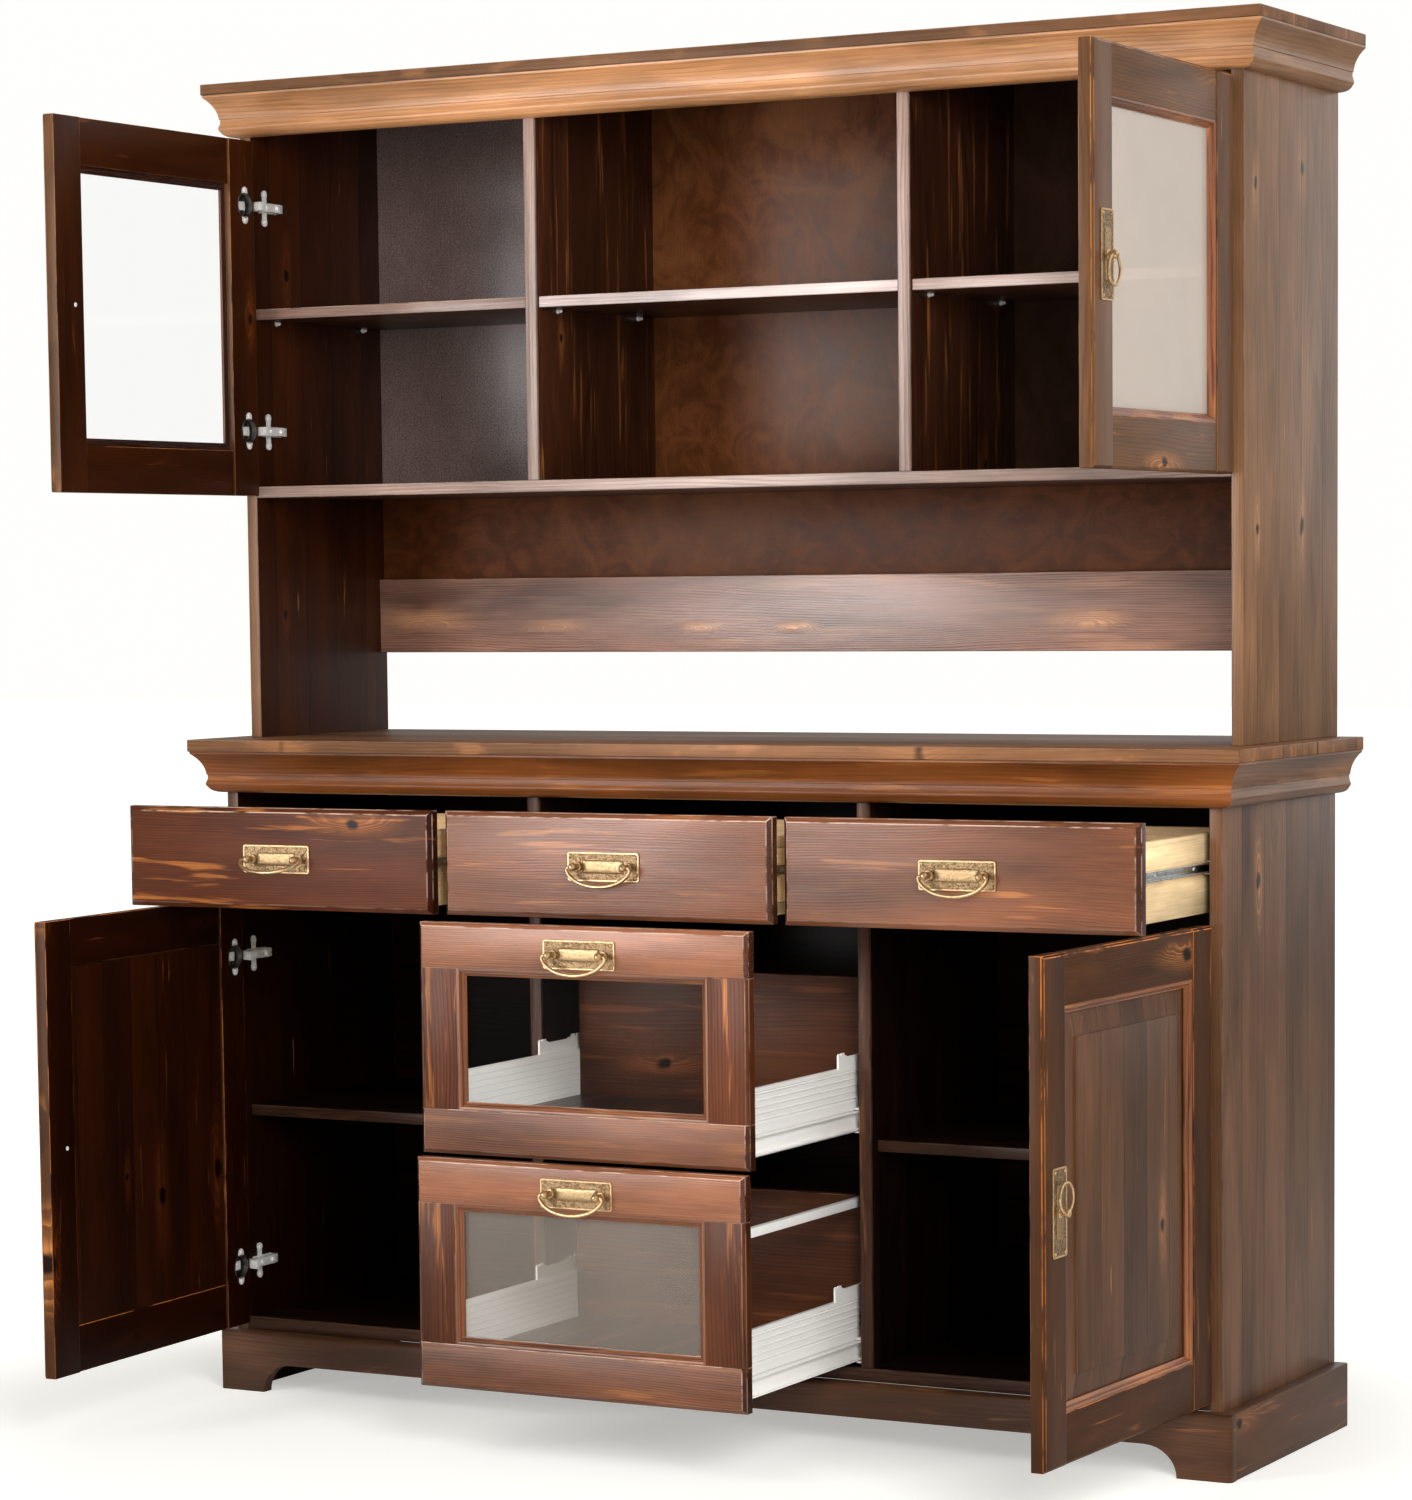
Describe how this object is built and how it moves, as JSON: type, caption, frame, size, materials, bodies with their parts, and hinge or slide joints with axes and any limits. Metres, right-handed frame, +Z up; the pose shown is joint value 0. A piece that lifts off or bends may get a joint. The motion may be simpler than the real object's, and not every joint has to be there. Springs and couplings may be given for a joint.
{
  "type": "dresser with hutch",
  "caption": "Kitchen dresser: a base cabinet with doors, drawers and glass-fronted drawers, and an open-backed hutch with glazed doors and shelves standing on its worktop.",
  "frame": {"origin": "on the floor, under the middle of the box round the piece with its doors and drawers open as it rests", "axes": "+X to the right as one faces it, +Y to the back, +Z up; the back plane is parallel to XZ"},
  "size_m": [1.5926, 0.9004, 1.85],
  "materials": {
    "carcass_pine": "walnut-stained pine, satin",
    "front_pine": "walnut-stained pine, satin, worn arrises",
    "moulding_pine": "lighter stained pine, satin",
    "knotty_pine": "stained pine with knots, satin",
    "stained_plywood": "thin stained panel, satin",
    "raw_pine": "bare pine, matte",
    "clear_glass": "clear, polished",
    "antique_brass": "aged, lightly worn",
    "nickel_steel": "nickel plated, satin",
    "white_metal": "white powder coat"
  },
  "bodies": {
    "carcass": {"base_side_left": "carcass_pine", "base_side_right": "carcass_pine", "base_partition_left": "carcass_pine", "base_partition_right": "carcass_pine", "base_bottom": "carcass_pine", "base_back": "stained_plywood", "base_shelf_left": "carcass_pine", "base_shelf_right": "carcass_pine", "plinth": "carcass_pine", "worktop": "carcass_pine", "worktop_moulding": "moulding_pine", "hutch_side_left": "carcass_pine", "hutch_side_right": "carcass_pine", "hutch_partition_left": "carcass_pine", "hutch_partition_right": "carcass_pine", "hutch_bottom": "carcass_pine", "hutch_shelf_left": "carcass_pine", "hutch_shelf_middle": "carcass_pine", "hutch_shelf_right": "carcass_pine", "hutch_back": "stained_plywood", "hutch_back_rail": "knotty_pine", "cornice_board": "carcass_pine", "cornice_moulding": "moulding_pine", "hutch_door_left_hinge_lower": "nickel_steel", "hutch_door_left_hinge_upper": "nickel_steel", "hutch_door_right_hinge_lower": "nickel_steel", "hutch_door_right_hinge_upper": "nickel_steel", "base_door_left_hinge_lower": "nickel_steel", "base_door_left_hinge_upper": "nickel_steel", "base_door_right_hinge_lower": "nickel_steel", "base_door_right_hinge_upper": "nickel_steel"},
    "hutch_door_left": {"hutch_door_left_frame": "front_pine", "hutch_door_left_glass": "clear_glass"},
    "hutch_door_left_pull": {"hutch_door_left_ring": "antique_brass"},
    "hutch_door_right": {"hutch_door_right_frame": "front_pine", "hutch_door_right_glass": "clear_glass"},
    "hutch_door_right_pull": {"hutch_door_right_ring": "antique_brass"},
    "base_door_left": {"base_door_left_frame": "front_pine", "base_door_left_panel": "front_pine"},
    "base_door_left_pull": {"base_door_left_ring": "antique_brass"},
    "base_door_right": {"base_door_right_frame": "front_pine", "base_door_right_panel": "front_pine"},
    "base_door_right_pull": {"base_door_right_ring": "antique_brass"},
    "top_drawer_left": {"top_drawer_left_front": "front_pine", "top_drawer_left_box": "raw_pine"},
    "top_drawer_left_handle": {"top_drawer_left_bail": "antique_brass"},
    "top_drawer_middle": {"top_drawer_middle_front": "front_pine", "top_drawer_middle_box": "raw_pine"},
    "top_drawer_middle_handle": {"top_drawer_middle_bail": "antique_brass"},
    "top_drawer_right": {"top_drawer_right_front": "front_pine", "top_drawer_right_box": "raw_pine"},
    "top_drawer_right_handle": {"top_drawer_right_bail": "antique_brass"},
    "glazed_drawer_upper": {"glazed_drawer_upper_front": "front_pine", "glazed_drawer_upper_glass": "clear_glass", "glazed_drawer_upper_tray": "white_metal"},
    "glazed_drawer_upper_handle": {"glazed_drawer_upper_bail": "antique_brass"},
    "glazed_drawer_lower": {"glazed_drawer_lower_front": "front_pine", "glazed_drawer_lower_glass": "clear_glass", "glazed_drawer_lower_tray": "white_metal"},
    "glazed_drawer_lower_handle": {"glazed_drawer_lower_bail": "antique_brass"}
  },
  "joints": [
    {"name": "hutch_door_left_swing", "type": "hinge", "parent": "carcass", "child": "hutch_door_left", "pos_m": [-0.7438, 0.09891, 1.2728], "axis": [0, 0, -1], "range_deg": [-90.5, 19.5]},
    {"name": "hutch_door_left_ring_swing", "type": "hinge", "parent": "hutch_door_left", "child": "hutch_door_left_pull", "pos_m": [-0.7624, -0.31359, 1.52155], "axis": [0.0087, 1, 0], "range_deg": [0, 180]},
    {"name": "hutch_door_right_swing", "type": "hinge", "parent": "carcass", "child": "hutch_door_right", "pos_m": [0.7438, 0.09891, 1.2728], "axis": [0, 0, 1], "range_deg": [-91, 19]},
    {"name": "hutch_door_right_ring_swing", "type": "hinge", "parent": "hutch_door_right", "child": "hutch_door_right_pull", "pos_m": [0.766, -0.31342, 1.52155], "axis": [0.0175, -0.9998, 0], "range_deg": [0, 180]},
    {"name": "base_door_left_swing", "type": "hinge", "parent": "carcass", "child": "base_door_left", "pos_m": [-0.741, 0.03121, 0.097], "axis": [0, 0, -1], "range_deg": [-87.5, 22.5]},
    {"name": "base_door_left_ring_swing", "type": "hinge", "parent": "base_door_left", "child": "base_door_left_pull", "pos_m": [-0.7367, -0.41108, 0.40215], "axis": [-0.0436, 0.999, 0], "range_deg": [0, 180]},
    {"name": "base_door_right_swing", "type": "hinge", "parent": "carcass", "child": "base_door_right", "pos_m": [0.741, 0.03121, 0.097], "axis": [0, 0, 1], "range_deg": [-88.4, 21.6]},
    {"name": "base_door_right_ring_swing", "type": "hinge", "parent": "base_door_right", "child": "base_door_right_pull", "pos_m": [0.74365, -0.41109, 0.40215], "axis": [-0.0279, -0.9996, 0], "range_deg": [-180, 0]},
    {"name": "top_drawer_left_slide", "type": "slide", "parent": "carcass", "child": "top_drawer_left", "axis": [0, -1, 0], "range_m": [-0.23, 0.115]},
    {"name": "top_drawer_left_bail_swing", "type": "hinge", "parent": "top_drawer_left", "child": "top_drawer_left_handle", "pos_m": [-0.50323, -0.21879, 0.7798], "axis": [-1, 0, 0], "range_deg": [-50, 45]},
    {"name": "top_drawer_middle_slide", "type": "slide", "parent": "carcass", "child": "top_drawer_middle", "axis": [0, -1, 0], "range_m": [-0.224, 0.121]},
    {"name": "top_drawer_middle_bail_swing", "type": "hinge", "parent": "top_drawer_middle", "child": "top_drawer_middle_handle", "pos_m": [0, -0.21279, 0.7798], "axis": [-1, 0, 0], "range_deg": [-4, 91]},
    {"name": "top_drawer_right_slide", "type": "slide", "parent": "carcass", "child": "top_drawer_right", "axis": [0, -1, 0], "range_m": [-0.223, 0.122]},
    {"name": "top_drawer_right_bail_swing", "type": "hinge", "parent": "top_drawer_right", "child": "top_drawer_right_handle", "pos_m": [0.50323, -0.21179, 0.7798], "axis": [-1, 0, 0], "range_deg": [-4, 91]},
    {"name": "glazed_drawer_upper_slide", "type": "slide", "parent": "carcass", "child": "glazed_drawer_upper", "axis": [0, -1, 0], "range_m": [-0.29, 0.045]},
    {"name": "glazed_drawer_upper_bail_swing", "type": "hinge", "parent": "glazed_drawer_upper", "child": "glazed_drawer_upper_handle", "pos_m": [0, -0.27879, 0.6708], "axis": [-1, 0, 0], "range_deg": [-8, 87]},
    {"name": "glazed_drawer_lower_slide", "type": "slide", "parent": "carcass", "child": "glazed_drawer_lower", "axis": [0, -1, 0], "range_m": [-0.305, 0.03]},
    {"name": "glazed_drawer_lower_bail_swing", "type": "hinge", "parent": "glazed_drawer_lower", "child": "glazed_drawer_lower_handle", "pos_m": [0, -0.29379, 0.36365], "axis": [-1, 0, 0], "range_deg": [-8, 87]}
  ]
}
